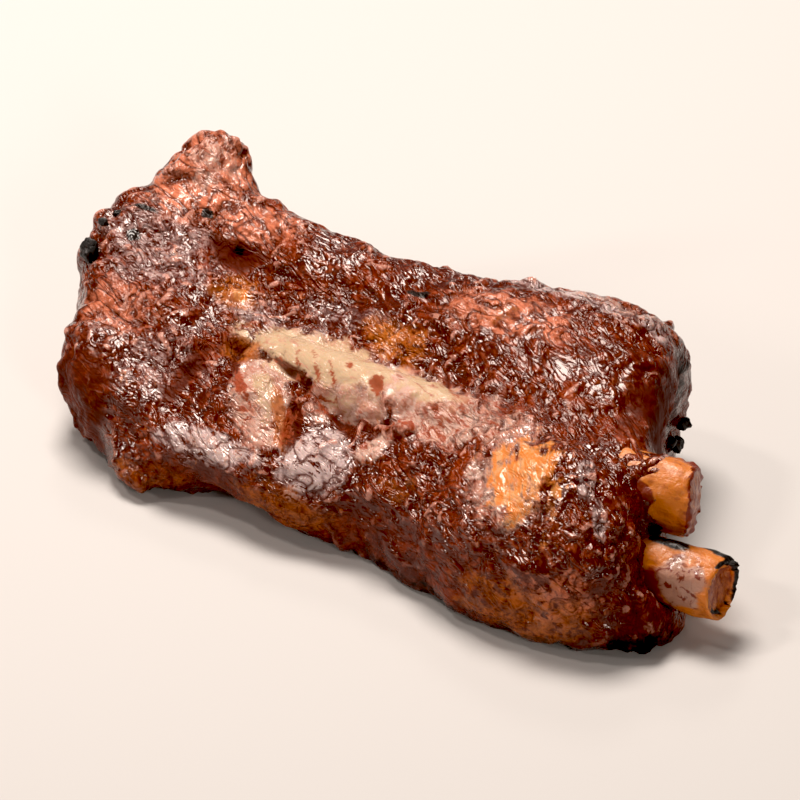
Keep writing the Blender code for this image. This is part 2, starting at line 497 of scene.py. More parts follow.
class MeatGraph(Graph):
    """The node graph of the glazed meat, with the noises and shares that its looks are mixed from."""

    FIBRE_RUN = (0.58, -0.81, -0.2)
    STREAK_RUN = (0.9, -0.42, 0.0)

    def __init__(self, name: str) -> None:
        """Start the material, make the noises and read the masks.

        Args:
            name: name of the material.
        """
        super().__init__(name)
        slant = self.along(self.STREAK_RUN, 2.6)
        steep = self.along(self.FIBRE_RUN, 4.0)
        self.broad = self.noise(0.006, detail=2.0, warp=0.6)
        self.mottle = self.noise(0.0016, detail=4.0, rough=0.6, warp=0.8)
        self.fine = self.noise(0.0006, detail=3.0, rough=0.6)
        self.streaks = self.noise(0.0011, detail=3.0, rough=0.55, warp=1.2, space=slant)
        self.fibres = self.noise(0.001, detail=3.0, rough=0.6, warp=0.8, space=steep)
        self.wide = self.crease(self.noise(0.0032, detail=1.0, rough=0.4, warp=1.6, space=slant))
        self.thin = self.crease(self.noise(0.0012, detail=1.0, rough=0.4, warp=1.2, space=slant))
        self.top = self.mask(Mask.TOP)
        self.calm = self.mask(Mask.CALM)
        self.stain_and_shade = self.mask(Mask.DEEP)

        ragged = self.weigh((self.streaks, 0.8), (self.mottle, 0.5), (self.fine, 0.3))
        frayed = self.weigh((self.fibres, 1.1), (self.mottle, 0.3), (self.fine, 0.2))
        mixed = self.weigh((ragged, 0.5), (frayed, 0.5))
        self.salmon = self._edge(Mask.SALMON, ragged, 0.85)
        self.grease = self._edge(Mask.GREASE, ragged, 0.9)
        self.pale = self._edge(Mask.PALE, mixed, 0.95)
        self.bare = self._edge(Mask.BARE, ragged, 0.95)
        self.amber = self._edge(Mask.AMBER, ragged, 0.8)
        self.fat = self._edge(Mask.FAT, frayed, 0.9)
        self.deep = self._edge(Mask.DEEP, ragged, 0.9)
        self.char = self._edge(Mask.CHAR, ragged, 1.0)

    def _edge(self, mask: Mask, ragged: Socket, top: float) -> Socket:
        """Share of a mask with a ragged edge.

        Args:
            mask: the vertex mask.
            ragged: a number of about 0.7 that breaks the edge up.
            top: the largest share.

        Returns:
            The share.
        """
        raised = self.sum(self.mask(mask), self.product(self.sum(ragged, -0.8), 1.6))
        return self.range(raised, 0.24, 0.78, 0.0, top)


@dataclass(frozen=True)
class GlazedMeatFinish:
    """Sticky dark glaze over browned meat, with fat, membrane, salmon lean and char."""

    deep: Colour = (0.07, 0.007, 0.0016)
    glaze: Colour = (0.24, 0.033, 0.007)
    crest: Colour = (0.37, 0.085, 0.034)
    painted_highlight: Colour = (0.61, 0.285, 0.215)
    amber: Colour = (0.46, 0.125, 0.022)
    fat: Colour = (0.84, 0.41, 0.17)
    orange: Colour = (0.74, 0.23, 0.045)
    salmon: Colour = (0.74, 0.235, 0.13)
    bare: Colour = (0.57, 0.405, 0.255)
    pale: Colour = (0.66, 0.43, 0.35)
    blush: Colour = (0.56, 0.27, 0.2)
    vein: Colour = (0.3, 0.05, 0.017)
    grease: Colour = (0.62, 0.475, 0.455)
    char: Colour = (0.006, 0.0045, 0.0045)
    sheen: Colour = (1.0, 0.72, 0.62)

    def material(self) -> Material:
        """Build the material."""
        g = MeatGraph("glazed_meat")
        under = self._relief(g)
        dryness = g.weigh((g.char, 0.3), (g.stain_and_shade, 0.55))
        return g.finish(
            base_color=self._darkened(g, self._layered(g, self._crust(g))),
            roughness=g.range(g.sum(g.mottle, dryness), 0.4, 1.05, 0.18, 0.8),
            normal=g.bump(g.fine, 0.00006, 0.6, below=under),
            specular_ior_level=0.2,
            specular_tint=self.sheen,
            coat_weight=self._wetness(g),
            coat_roughness=0.12,
            coat_ior=1.5,
            coat_normal=under,
            subsurface_weight=0.15,
            subsurface_radius=(0.0022, 0.0007, 0.0003),
            subsurface_scale=1.0,
        )

    def _crust(self, g: MeatGraph) -> Socket:
        """Dark glaze over brown meat, with painted shade on faces that do not look up, and lighter strands
        on the crests as a painted highlight, most of them on top.
        """
        tone = g.weigh((g.broad, 0.5), (g.mottle, 0.6))
        colour = g.mix(g.range(tone, 0.44, 0.74), self.deep, self.glaze)
        spotted = g.range(g.mottle, 0.4, 0.65, 0.1, 0.7)
        # painted highlight: crests of the thin strands are lighter, mottled, and mostly on faces that look
        # up
        crest = g.product(g.range(g.thin, 0.1, 0.4), spotted, g.fade(g.top, 0.45, 1.0))
        # painted shade: faces that do not look up are darkened towards the deep colour
        colour = g.mix(g.fade(g.top, 0.28, 0.0), colour, self.deep)
        return g.mix(crest, colour, self.crest)

    def _layered(self, g: MeatGraph, colour: Socket) -> Socket:
        """Lay lean, painted sheen, painted shade in the creases, painted highlights on raised strands,
        membrane, bone, amber and fat over the crust.

        Args:
            g: the graph.
            colour: colour of the crust.

        Returns:
            The colour with these over it.
        """
        veins = g.product(g.range(g.streaks, 0.5, 0.61), g.range(g.broad, 0.35, 0.6, 0.4, 0.9))
        colour = g.mix(g.salmon, colour, g.mix(g.product(veins, 0.5), self.salmon, self.deep))
        # painted sheen: a light grey-pink colour laid where the lamps' reflection lies, broken by dark
        # streaks
        colour = g.mix(g.grease, colour, g.mix(g.range(g.streaks, 0.52, 0.62), self.grease, self.deep))
        # painted shade: the creases of the wide strands are darkened
        creases = g.product(g.range(g.wide, 0.0, 0.2, 1.0, 0.0), 0.9)
        colour = g.mix(creases, colour, self.deep)
        # painted highlight: raised strands on top faces are lightened towards a pink-white, standing for
        # the glints on their crests
        raised = g.weigh((g.mask(Mask.PEAK), 0.9), (g.fibres, 1.0), (g.broad, 0.3))
        painted_crest_highlight = g.product(g.range(raised, 0.9, 1.22, 0.0, 0.8), g.fade(g.top, 0.25, 1.0))
        colour = g.mix(painted_crest_highlight, colour, self.painted_highlight)
        cream = g.mix(g.range(g.mottle, 0.42, 0.62), self.pale, self.blush)
        colour = g.mix(g.pale, colour, g.mix(veins, cream, self.vein))
        aged = g.product(g.range(g.streaks, 0.56, 0.66), 0.6)
        colour = g.mix(g.bare, colour, g.mix(aged, self.bare, self.blush))
        colour = g.mix(g.amber, colour, g.mix(veins, self.amber, self.deep))
        return g.mix(g.fat, colour, g.mix(g.range(g.fibres, 0.4, 0.56), self.fat, self.orange))

    def _darkened(self, g: MeatGraph, colour: Socket) -> Socket:
        """Darken the DEEP places, stains and painted shade alike, paint shade into the hollows, and blacken
        the char.

        Args:
            g: the graph.
            colour: the colour so far.

        Returns:
            The finished colour.
        """
        clean = g.math("MAXIMUM", g.pale, g.fat)
        # the DEEP places are darkened: red veins and stains, and painted shade in crevices, pits, pockets
        # and on faces turned from the light
        colour = g.mix(g.deep, colour, g.mix(g.range(clean, 0.2, 0.9), self.deep, self.vein))
        # painted shade: hollows of the skin are darkened, less on pale membrane and fat
        hollow = g.range(g.mask(Mask.CAVITY), 0.1, 0.9, 0.0, 0.85)
        colour = g.mix(g.product(hollow, g.fade(clean, 1.0, 0.2)), colour, self.deep)
        return g.mix(g.char, colour, self.char)

    @staticmethod
    def _relief(g: MeatGraph) -> Socket:
        """Normals bent by strands and, on the lean, by grains."""
        uneven = g.range(g.broad, 0.35, 0.62, 0.4, 1.0)
        lively = g.product(uneven, g.fade(g.calm, 1.0, 0.2), g.fade(g.top, 0.55, 1.0))
        granular = g.product(g.cells(0.0009), g.salmon, -0.35)
        return g.bump(g.sum(g.wide, g.product(g.thin, 0.7), granular), 0.00072, lively)

    @staticmethod
    def _wetness(g: MeatGraph) -> Socket:
        """Share of wet glaze: none on the DEEP places, stains and painted shade alike, and little on smooth
        ones.
        """
        return g.product(
            g.range(g.broad, 0.38, 0.58, 0.9, 0.35),
            g.fade(g.top, 0.6, 1.0),
            g.range(g.stain_and_shade, 0.0, 0.5, 1.0, 0.0),
            g.fade(g.calm, 1.0, 0.3),
        )


@dataclass(frozen=True)
class BoneFinish:
    """Roasted bone: cream to amber, with brown stain and painted shade, glaze smears, a painted highlight
    on the glossy part and char at the cut.
    """

    cream: Colour = (0.62, 0.38, 0.23)
    amber: Colour = (0.64, 0.195, 0.03)
    bone_stain_and_shade: Colour = (0.2, 0.026, 0.007)
    film: Colour = (0.56, 0.27, 0.19)
    painted_gloss_highlight: Colour = (0.49, 0.26, 0.185)
    char: Colour = (0.006, 0.0045, 0.0045)

    def material(self) -> Material:
        """Build the material."""
        g = Graph("roasted_bone")
        slant = g.along((1.0, 0.2, 0.0), 2.8)
        streaks = g.noise(0.0016, detail=3.0, rough=0.55, warp=1.2, space=slant)
        creased = g.crease(g.noise(0.0018, detail=1.0, rough=0.4, warp=1.2, space=slant))
        mottle = g.noise(0.0014, detail=4.0, rough=0.6, warp=0.9)
        broad = g.noise(0.005, detail=2.0, warp=0.6)
        fine = g.noise(0.0004, detail=3.0)

        ragged = g.weigh((streaks, 0.5), (mottle, 0.5))
        colour = g.mix(g.range(mottle, 0.42, 0.64, 0.0, 0.8), self.cream, self.film)
        veins = g.product(g.range(streaks, 0.54, 0.66), g.range(broad, 0.4, 0.6, 0.3, 0.9))
        colour = g.mix(veins, colour, self.bone_stain_and_shade)
        roasted = g.mix(g.range(ragged, 0.5, 0.66, 0.0, 0.45), self.amber, self.bone_stain_and_shade)
        # painted highlight: the glossy middle is coloured pink-white with dark spots
        gloss_highlight_look = g.mix(g.range(mottle, 0.5, 0.6), self.painted_gloss_highlight, self.bone_stain_and_shade)
        layers = {Mask.AMBER: roasted, Mask.PALE: gloss_highlight_look, Mask.DEEP: self.bone_stain_and_shade, Mask.CHAR: self.char}
        for mask, look in layers.items():
            colour = g.mix(self._share(g, mask, ragged), colour, look)

        under = g.bump(g.weigh((creased, 0.3), (mottle, 0.8)), 0.0004, 0.6)
        normal = g.bump(fine, 0.00008, 0.6, below=under)
        return g.finish(
            base_color=colour,
            roughness=g.range(mottle, 0.3, 0.7, 0.32, 0.55),
            normal=normal,
            coat_weight=g.fade(g.mask(Mask.PALE), 0.08, 0.6),
            coat_roughness=0.12,
            subsurface_weight=0.25,
            subsurface_radius=(0.0025, 0.0012, 0.0006),
            subsurface_scale=1.0,
        )

    @staticmethod
    def _share(g: Graph, mask: Mask, ragged: Socket) -> Socket:
        """Share of a mask with a broken edge."""
        return g.range(g.sum(g.mask(mask), g.product(ragged, 0.9)), 0.7, 1.05)


@dataclass(frozen=True)
class CharFinish:
    """Burnt crumb: black, rough, with a few glints."""

    black: Colour = (0.006, 0.0048, 0.0048)
    brown: Colour = (0.04, 0.012, 0.006)

    def material(self) -> Material:
        """Build the material."""
        g = Graph("char")
        grain = g.noise(0.0006, detail=4.0, rough=0.65)
        colour = g.mix(g.range(grain, 0.55, 0.75), self.black, self.brown)
        return g.finish(
            base_color=colour,
            roughness=g.range(grain, 0.3, 0.7, 0.25, 0.6),
            normal=g.bump(grain, 0.0003, 0.8),
        )


@dataclass(frozen=True)
class FloorFinish:
    """Plain pale studio floor."""

    colour: Colour = (0.62, 0.61, 0.6)

    def material(self) -> Material:
        """Build the material."""
        g = Graph("pale_floor")
        return g.finish(base_color=self.colour, roughness=0.9)


# ---- surface features

@dataclass(frozen=True)
class Patch:
    """A place on the surface with its own look.

    at is given as shares of a node's box; reach is in millimetres; strength is the largest share; rise
    pushes the surface out, or in where it is negative, in millimetres; turn is about Z; ragged is how far
    the edge wanders as a share of the reach; power is 2 for an oval and more for a squarer patch; shoulder
    is 2 for a round rise and more for a flat one.
    """

    at: Triple
    reach: Triple
    strength: float = 1.0
    rise: float = 0.0
    turn: float = 0.0
    ragged: float = 0.45
    power: float = 2.0
    shoulder: float = 2.0

    FARTHEST: ClassVar[float] = 2.2
    FALL: ClassVar[float] = 1.3
    EDGE_CELL: ClassVar[float] = 2.4 * MM
    EDGE: ClassVar[tuple[float, float]] = (1.5, 0.5)

    def distance(self, place: Vector, box: NodeBox) -> float:
        """Distance of a place from the middle, as a share of the reach."""
        offset = (place - box.at(self.at)) / MM
        cos, sin = math.cos(self.turn), math.sin(self.turn)
        x = (offset.x * cos + offset.y * sin) / self.reach[0]
        y = (offset.y * cos - offset.x * sin) / self.reach[1]
        z = offset.z / self.reach[2]
        return (abs(x) ** self.power + abs(y) ** self.power + abs(z) ** self.power) ** (1.0 / self.power)

    def effect(self, place: Vector, box: NodeBox) -> tuple[float, float]:
        """How much of the patch a place has, and how far the patch pushes it out.

        Args:
            place: a place in metres.
            box: the box that the patch is placed in.

        Returns:
            A share between 0 and the patch's strength, and a height in millimetres.
        """
        distance = self.distance(place, box)
        if distance > self.FARTHEST:
            return 0.0, 0.0
        push = self.rise * math.exp(-self.FALL * distance**self.shoulder)
        distance += self.ragged * noise.noise(place / self.EDGE_CELL)
        return self.strength * smoothstep(*self.EDGE, distance), push


Patches = dict[Mask, tuple[Patch, ...]]


def lay(patches: Patches, place: Vector, box: NodeBox, masks: dict[Mask, np.ndarray], index: int) -> float:
    """Lay patches on a vertex.

    Args:
        patches: the patches of each mask.
        place: where the vertex is.
        box: the box that the patches are placed in.
        masks: the masks, which rise to the patches' shares.
        index: the vertex's number.

    Returns:
        How far the patches push the vertex out, in millimetres.
    """
    rise = 0.0
    for mask, group in patches.items():
        for patch in group:
            share, push = patch.effect(place, box)
            rise += push
            masks[mask][index] = max(masks[mask][index], share)
    return rise


@dataclass(frozen=True)
class Grain:
    """A stretch of surface whose fibres run one way.

    at is given as shares of the meat's box; reach, cell and height are in millimetres; stretch is how many
    times longer than wide the fibres are.
    """

    at: Triple
    reach: Triple
    direction: Triple
    cell: float
    stretch: float
    height: float

    FARTHEST_SQUARED: ClassVar[float] = 6.0

    def weight(self, place: Vector, box: NodeBox) -> float:
        """How strongly the grain holds at a place."""
        offset = (place - box.at(self.at)) / MM
        squared = sum((d / r) ** 2 for d, r in zip(offset, self.reach))
        return math.exp(-squared) if squared < self.FARTHEST_SQUARED else 0.0

    def relief(self, place: Vector) -> float:
        """Height of the fibres at a warped place in millimetres."""
        along = Vector(self.direction).normalized()
        run = place.dot(along)
        across = place - along * run
        stretched = across / self.cell + along * (run / (self.cell * self.stretch))
        return self.height * strands(stretched)


PATCHES = {
    Mask.SALMON: (
        Patch((0.12, 0.74, 0.93), (8.0, 8.5, 9.0)),  # flap lean
        Patch((0.215, 0.7, 0.85), (9.0, 4.5, 8.0), 0.75),  # behind the trough
        Patch((0.61, 0.65, 0.88), (11.0, 5.0, 8.0), 0.66),  # back ridge
        Patch((0.74, 0.85, 0.88), (14.0, 3.5, 6.0), 0.5),  # back corner
        Patch((0.15, 0.33, 0.6), (7.0, 6.0, 7.0), 0.55),  # pink on the left
        Patch((0.53, 0.27, 0.53), (5.0, 2.0, 4.0), 0.3, rise=1.2),  # fill of the hollow
        Patch((0.9, 0.05, 0.32), (8.0, 4.0, 5.0), 0.52),  # front right
    ),
    Mask.PALE: (
        Patch((0.125, 0.79, 0.97), (5.5, 5.0, 6.0), 0.55),  # pale lobe
        # painted highlight along the rim at the back
        Patch((0.68, 0.85, 0.93), (24.0, 2.4, 5.0), 0.45),  # rim at the back
        # painted highlight on the front ridge
        Patch((0.38, 0.09, 0.33), (7.0, 1.6, 3.0), 0.45),  # pale front ridge
        Patch((0.735, 0.164, 0.65), (2.0, 1.2, 3.0), 0.8, rise=0.2),  # cream fleck
        # membrane over the bone
        Patch((0.512, 0.385, 0.64), (19.0, 4.4, 8.0), 0.95, rise=0.8, turn=-0.092, power=3.0, shoulder=5.0),
        Patch((0.62, 0.325, 0.65), (9.5, 5.4, 6.0), 0.8, turn=-0.25),  # wide end of it
        Patch((0.5, 0.31, 0.56), (9.0, 2.2, 5.0), 0.85, turn=-0.1),  # over the edge
        # painted highlight on the facet
        Patch((0.515, 0.14, 0.41), (4.0, 3.5, 5.0), 0.2),  # pale facet
        Patch((0.405, 0.222, 0.52), (4.2, 9.5, 7.0), rise=0.9, turn=0.75, ragged=0.3),  # cream lump
        Patch((0.475, 0.262, 0.53), (4.0, 1.8, 4.0), 0.6, rise=1.4),  # gristle in the hollow
        Patch((0.575, 0.2, 0.52), (2.6, 2.4, 4.0), rise=0.6),  # cream chip
        Patch((0.68, 0.33, 0.67), (6.0, 4.0, 5.0), 0.55),  # membrane end
        Patch((0.79, 0.14, 0.66), (8.5, 6.5, 6.0), 0.64, turn=-0.885),  # fat fringe
        Patch((0.745, 0.3, 0.7), (7.5, 4.5, 6.0), 0.55, turn=-0.885),  # fringe above the fat
    ),
    # painted sheen: these places get a light grey-pink colour that stands for the lamps' reflection
    Mask.GREASE: (
        Patch((0.68, 0.83, 0.92), (26.0, 3.4, 5.0), 0.78),  # pale back edge
        Patch((0.13, 0.52, 0.72), (12.0, 8.0, 7.0), 0.48),  # left top
        Patch((0.25, 0.23, 0.52), (8.0, 6.0, 6.0), 0.43),  # left bulge
        Patch((0.37, 0.09, 0.33), (9.0, 2.2, 3.5), 0.85, rise=0.5),  # glossy front ridge
        Patch((0.872, 0.24, 0.69), (4.8, 1.3, 5.0), 0.85, turn=2.2),  # right front
        Patch((0.915, 0.17, 0.63), (3.6, 1.0, 5.0), 0.8, turn=2.2),  # second sheen
        Patch((0.3, 0.48, 0.63), (8.0, 2.6, 5.0), 0.56),  # trough
        Patch((0.42, 0.54, 0.68), (9.0, 2.0, 5.0), 0.48),  # by the bone
        Patch((0.515, 0.14, 0.41), (5.4, 5.4, 6.0), rise=0.8, ragged=0.3),  # grey facet
    ),
    Mask.DEEP: (
        Patch((0.17, 0.11, 0.4), (5.0, 5.0, 6.0), 0.55),  # lower left
        Patch((0.64, 0.36, 0.67), (9.0, 5.0, 6.0), 0.28),  # red end of the strip
        # the pits are dark spots that paint the shade of small holes; the first is also sunk
        Patch((0.535, 0.335, 0.64), (1.8, 0.8, 4.0), rise=-0.7, turn=-0.5, ragged=0.8),  # pit in the middle
        Patch((0.482, 0.365, 0.645), (0.9, 0.5, 4.0), 0.7, turn=-0.4, ragged=0.8),  # pit above it
        Patch((0.406, 0.372, 0.623), (0.6, 0.5, 4.0), 0.6, ragged=0.8),  # pit on the left
        Patch((0.659, 0.338, 0.683), (1.4, 0.6, 4.0), 0.8, turn=-0.6, ragged=0.8),  # pit on the right
        Patch((0.61, 0.42, 0.69), (5.5, 0.5, 4.0), 0.7, turn=-0.75),  # line on the right
        Patch((0.425, 0.325, 0.6), (4.5, 0.3, 4.0), 0.65, turn=-0.75),  # streak below
        Patch((0.445, 0.34, 0.6), (4.5, 0.3, 4.0), 0.65, turn=-0.75),  # second streak
        Patch((0.47, 0.335, 0.6), (3.5, 0.3, 4.0), 0.65, turn=-0.75),  # third streak
        Patch((0.385, 0.215, 0.52), (0.45, 4.0, 5.0), 0.8, turn=0.9),  # line in the lump
        Patch((0.352, 0.262, 0.54), (0.6, 5.0, 5.0), 0.85, turn=0.75),  # left of the lump
        Patch((0.418, 0.325, 0.56), (6.0, 0.6, 4.0), 0.9, turn=-0.25),  # above the lump
        Patch((0.975, 0.17, 0.16), (6.0, 4.0, 4.0), 0.5, rise=1.6),  # collar of the front bone
        # painted shade in the crevice left of the bone
        Patch((0.318, 0.35, 0.58), (3.0, 2.0, 4.0), 0.5, rise=-1.0),  # crevice left of the bone
        # painted shade: a dark line under the bone
        Patch((0.505, 0.27, 0.51), (7.0, 1.1, 3.0), 0.7, turn=-0.05),  # under the bone
        # painted shade in the crevice by the lump
        Patch((0.458, 0.2, 0.48), (1.2, 4.5, 5.0), rise=-0.9, turn=0.5),  # crevice by the lump
        Patch((0.6, 0.26, 0.59), (2.6, 2.6, 4.0), 0.5, rise=1.1),  # gristle knob
        # painted shade in the seam of the bulge
        Patch((0.29, 0.25, 0.5), (1.6, 6.0, 5.0), 0.7, rise=-0.9),  # seam of the bulge
        # painted shade in the pocket under the flap
        Patch((0.225, 0.6, 0.72), (4.0, 1.8, 4.0), 0.9, rise=-1.1),  # pocket under the flap
        Patch((0.13, 0.1, 0.25), (9.0, 8.0, 8.0), 0.55),  # dark left foot
        # painted shade on the front faces
        Patch((0.5, 0.0, 0.15), (32.0, 6.0, 6.0), 0.25),  # dark front
        # the cut face is darker and kept dry; the darkening is painted shade on a face turned from the
        # light
        Patch((0.85, 0.72, 0.48), (5.0, 16.0, 14.0), 0.9, ragged=0.35),  # cut face
    ),
    Mask.CALM: (
        Patch((0.17, 0.11, 0.4), (5.0, 5.0, 6.0), 0.6),  # lower left
        Patch((0.73, 0.6, 0.84), (18.0, 12.0, 9.0), 0.5),  # flat right top
        Patch((0.49, 0.385, 0.64), (18.0, 5.2, 8.0), 0.95, turn=-0.092),  # membrane
        Patch((0.87, 0.66, 0.5), (5.5, 15.0, 14.0), 0.7),  # cut face
        Patch((0.515, 0.13, 0.4), (4.5, 4.0, 6.0), 0.6),  # facet
        Patch((0.8, 0.19, 0.7), (7.0, 4.5, 6.0), 0.55, turn=-0.885),  # fat
        Patch((0.393, 0.24, 0.54), (3.9, 8.0, 6.0), 0.3, turn=0.8),  # lump
        Patch((0.5, 0.02, 0.2), (45.0, 6.0, 6.0), 0.2),  # front
    ),
    Mask.BARE: (
        Patch((0.44, 0.39, 0.625), (14.0, 4.4, 6.0), turn=-0.092, power=3.0),  # under the membrane
        Patch((0.59, 0.39, 0.665), (7.0, 3.0, 6.0), 0.8, turn=-0.3),  # right end
        Patch((0.405, 0.235, 0.54), (1.6, 5.0, 5.0), 0.65, turn=0.8),  # top of the lump
    ),
    Mask.AMBER: (
        Patch((0.442, 0.195, 0.49), (1.1, 5.5, 5.0), 0.9, turn=0.75),  # seam of the lump
        Patch((0.262, 0.512, 0.64), (4.0, 2.8, 3.0), 0.95, rise=0.9),  # bead in the trough
        Patch((0.5, 0.505, 0.71), (6.0, 2.6, 4.0), 0.9, turn=-0.2),  # spot by the bone
        Patch((0.6, 0.64, 0.87), (4.0, 2.5, 4.0), 0.4),  # back ridge
        Patch((0.5, 0.04, 0.2), (10.0, 4.0, 4.0), 0.55),  # front edge
        Patch((0.29, 0.03, 0.1), (9.0, 4.0, 3.0), 0.45),  # foot
        Patch((0.33, 0.35, 0.58), (3.4, 2.0, 4.0), 0.9),  # crevice
        Patch((0.86, 0.03, 0.18), (13.0, 4.0, 5.5), 0.55),  # front right
        Patch((0.64, 0.11, 0.46), (3.5, 3.0, 3.0), 0.45),  # crust
    ),
    Mask.FAT: (
        Patch((0.8, 0.19, 0.7), (7.6, 4.4, 6.0), 0.8, rise=0.5, turn=-0.885, ragged=1.0),  # fat patch
        # painted highlight: the bright sides of the bead and the spot are their lit sides, painted in fat's
        # colour
        Patch((0.268, 0.505, 0.64), (1.9, 1.2, 3.0), 0.75),  # bright side of the bead
        Patch((0.48, 0.51, 0.71), (2.4, 1.5, 3.0), 0.45),  # bright side of the spot
    ),
    Mask.CHAR: (
        Patch((0.095, 0.53, 0.7), (1.0, 0.8, 3.0), 0.9, ragged=0.8),  # on the left
        Patch((0.16, 0.66, 0.82), (1.1, 0.8, 3.0), 0.9, ragged=0.8),  # below the lobe
        Patch((0.225, 0.615, 0.74), (0.7, 0.6, 3.0), 0.8, ragged=0.8),  # by the pocket
        Patch((0.093, 0.6, 0.76), (2.4, 0.4, 3.0), 0.9, turn=0.1, ragged=0.6),  # thin black line
        Patch((0.487, 0.641, 0.84), (1.8, 0.8, 3.0), 0.9, ragged=0.8),  # back ridge
        Patch((0.802, 0.86, 0.45), (2.0, 2.0, 12.0), 0.6),  # back edge
        Patch((0.066, 0.445, 0.66), (1.4, 1.4, 2.0), rise=0.4, ragged=0.2),  # corner
        Patch((0.985, 0.13, 0.04), (7.0, 7.0, 2.6), 0.75),  # foot
        Patch((0.7, 0.04, 0.02), (60.0, 6.0, 2.0), 0.5),  # arch
    ),
}

GRAINS = (
    Grain((0.21, 0.16, 0.45), (12.0, 8.0, 9.0), (0.75, -0.35, -0.3), 1.9, 2.6, 0.55),  # left bulge
    Grain((0.33, 0.5, 0.63), (16.0, 6.0, 8.0), (1.0, 0.25, 0.0), 1.2, 4.0, 0.45),  # trough
    Grain((0.45, 0.7, 0.85), (24.0, 6.0, 8.0), (1.0, -0.25, 0.0), 1.5, 3.5, 0.45),  # back ridge
    Grain((0.78, 0.35, 0.72), (12.0, 11.0, 9.0), (0.58, -0.81, -0.2), 1.5, 3.5, 0.5),  # right top
    Grain((0.45, 0.05, 0.25), (26.0, 5.0, 8.0), (1.0, 0.0, 0.15), 1.8, 2.4, 0.36),  # front band
    Grain((0.82, 0.05, 0.35), (14.0, 6.0, 9.0), (0.75, -0.1, -0.6), 1.7, 2.6, 0.4),  # front right
    Grain((0.86, 0.65, 0.5), (6.0, 13.0, 12.0), (0.0, 0.3, 1.0), 0.9, 3.0, 0.16),  # cut face
)


@dataclass
class MeatSlab:
    """The slab of meat: one closed skin with crust, fibres, folds and patches.

    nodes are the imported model's, and bones the names of those whose channels are closed.
    """

    nodes: dict[str, bpy.types.Object]
    finish: GlazedMeatFinish
    bones: tuple[str, ...]

    NODE = "meat"
    CELL = 0.00049
    SMOOTH_ROUNDS = 4
    BONE_GROWTH = 0.00045
    PLUG_END = (0.905, 0.5, 0.5)
    PLUG_FACING = (1.0, 0.45, 0.0)
    TOP_FACING = (0.05, 0.55)
    STEEP_FACING = (0.5, 0.1)
    STEEP_LOSS = 0.1
    CALM_LOSS = 0.75
    WARP = (5.0, 1.8)
    LUMPS = ((6.5, 0.8), (3.4, 0.55))
    LIVELY_CELL = 7.5
    LIVELY = (-0.3, 0.25)
    LEAST_WEIGHT = 0.01
    FOLD_CELL, FOLD_HEIGHT, FOLD_LEAST = 3.2, 0.6, 0.45
    CRUST_CELL, CRUST_HEIGHT, CRUST_LEAST = 1.9, 0.2, 0.1
    PEBBLE_CELL, PEBBLE_HEIGHT = 0.9, 0.07
    INSET = 0.00035
    FORM_WIDTH = 0.00035

    def __post_init__(self) -> None:
        """Read the meat's box."""
        self.box = NodeBox.of(self.NODE)

    def build(self) -> bpy.types.Object:
        """Make the piece."""
        piece = Workpiece("rib_meat", self._filled_body())
        piece.remesh(self.CELL)
        piece.smooth(self.SMOOTH_ROUNDS)
        self._sculpt(piece)
        self._keep_inside(piece)
        piece.store_form(self.FORM_WIDTH)
        piece.dress(self.finish.material())
        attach(piece.object, "root")
        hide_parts(self.NODE)
        return piece.object

    def _filled_body(self) -> BMesh:
        """The node's mesh with plugs in the bone channels."""
        body = node_copy(self.nodes[self.NODE])
        limit = self.box.at(self.PLUG_END)
        for bone in self.bones:
            plug = node_copy(self.nodes[bone])
            for vert in plug.verts:
                vert.co += vert.normal * self.BONE_GROWTH
            cut_off(plug, limit, self.PLUG_FACING)
            mesh = bpy.data.meshes.new("plug")
            plug.to_mesh(mesh)
            plug.free()
            body.from_mesh(mesh)
            bpy.data.meshes.remove(mesh)
        return body

    def _sculpt(self, piece: Workpiece) -> None:
        """Push the skin in and out: patches, lumps, fibres and crust; and note the masks."""
        places = piece.points()
        normals = piece.normals()
        masks = {mask: np.zeros(len(places)) for mask in Mask}
        for index, row in enumerate(places):
            place = Vector(row)
            rise = lay(PATCHES, place, self.box, masks, index)
            upward = normals[index][2]
            masks[Mask.TOP][index] = smoothstep(*self.TOP_FACING, upward)
            steep = 1.0 - self.STEEP_LOSS * smoothstep(*self.STEEP_FACING, upward)
            rise += self._relief(place) * steep * (1.0 - self.CALM_LOSS * masks[Mask.CALM][index])
            places[index] += normals[index] * (rise * MM - self.INSET)
        piece.set_points(places)
        for mask, values in masks.items():
            if mask not in (Mask.CAVITY, Mask.PEAK):
                piece.store(mask, values)

    def _relief(self, place: Vector) -> float:
        """Height of the skin's relief at a place, in millimetres."""
        spot = warped(place / MM, *self.WARP)
        height = sum(rise * noise.noise(spot / size) for size, rise in self.LUMPS)
        lively = smoothstep(*self.LIVELY, noise.noise(spot / self.LIVELY_CELL))
        folds = self.FOLD_HEIGHT * strands(spot / self.FOLD_CELL)
        total = 0.0
        fibres = 0.0
        for grain in GRAINS:
            weight = grain.weight(place, self.box)
            if weight > self.LEAST_WEIGHT:
                total += weight
                fibres += weight * grain.relief(spot)
        share = min(total, 1.0)
        if total > 0.0:
            fibres /= total
        height += (folds * (1.0 - share) + fibres * share) * blend(self.FOLD_LEAST, lively)
        height += self.CRUST_HEIGHT * strands(spot / self.CRUST_CELL) * blend(self.CRUST_LEAST, lively)
        return height + self.PEBBLE_HEIGHT * noise.noise(spot / self.PEBBLE_CELL)

    def _keep_inside(self, piece: Workpiece) -> None:
        """Keep the skin inside the node's box, so that it is flat where it rests."""
        places = np.clip(piece.points(), np.array(self.box.low), np.array(self.box.high))
        piece.set_points(places)


